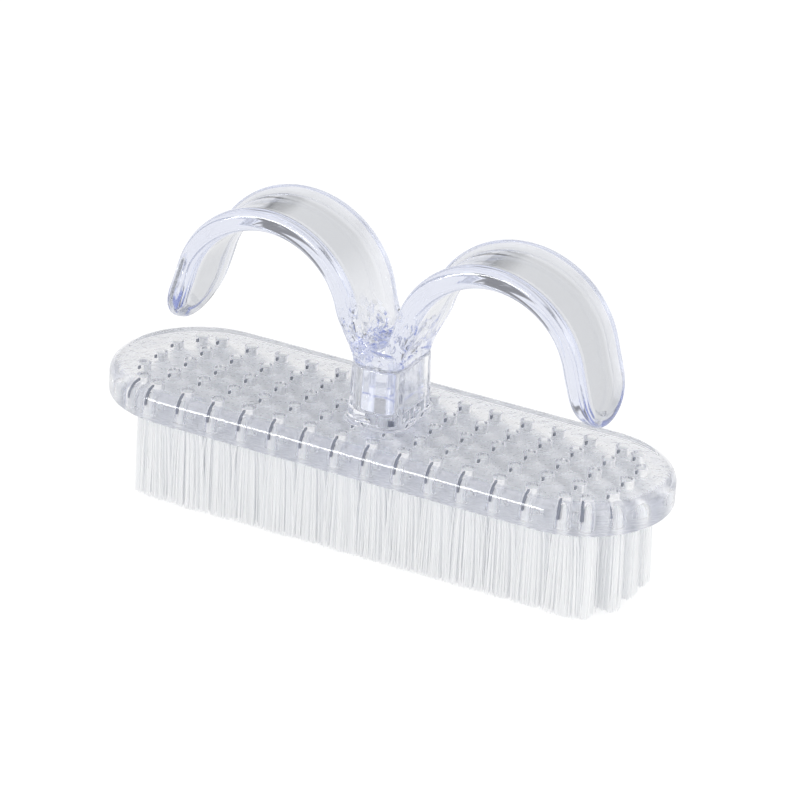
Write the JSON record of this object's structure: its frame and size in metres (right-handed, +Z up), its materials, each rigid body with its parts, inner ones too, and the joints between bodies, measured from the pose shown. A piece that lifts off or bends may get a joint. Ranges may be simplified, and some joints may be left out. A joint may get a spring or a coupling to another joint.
{
  "type": "nail dust brush",
  "caption": "Clear plastic nail dust brush: flat round-ended head with rows of short pale bristles and a twin-arch finger handle plugged into a central post.",
  "frame": {"origin": "centre of the object's footprint, at the level of the bristle tips", "axes": "+X along the brush, +Y to the back, +Z up out of the top of the head"},
  "size_m": [0.095, 0.0302, 0.0509],
  "materials": {
    "head_clear_plastic": "clear injection-moulded plastic with a faint blue tint, polished",
    "handle_clear_plastic": "clear injection-moulded plastic with a faint blue tint, polished",
    "bristle_nylon": "pale translucent nylon filaments"
  },
  "bodies": {
    "root": {"brush_head": "head_clear_plastic", "finger_handle": "handle_clear_plastic", "tuft_column_01": "bristle_nylon", "tuft_column_02": "bristle_nylon", "tuft_column_03": "bristle_nylon", "tuft_column_04": "bristle_nylon", "tuft_column_05": "bristle_nylon", "tuft_column_06": "bristle_nylon", "tuft_column_07": "bristle_nylon", "tuft_column_08": "bristle_nylon", "tuft_column_09": "bristle_nylon", "tuft_column_10": "bristle_nylon", "tuft_column_11": "bristle_nylon", "tuft_column_12": "bristle_nylon", "tuft_column_13": "bristle_nylon", "tuft_column_14": "bristle_nylon", "tuft_column_15": "bristle_nylon", "tuft_column_16": "bristle_nylon"}
  },
  "joints": []
}
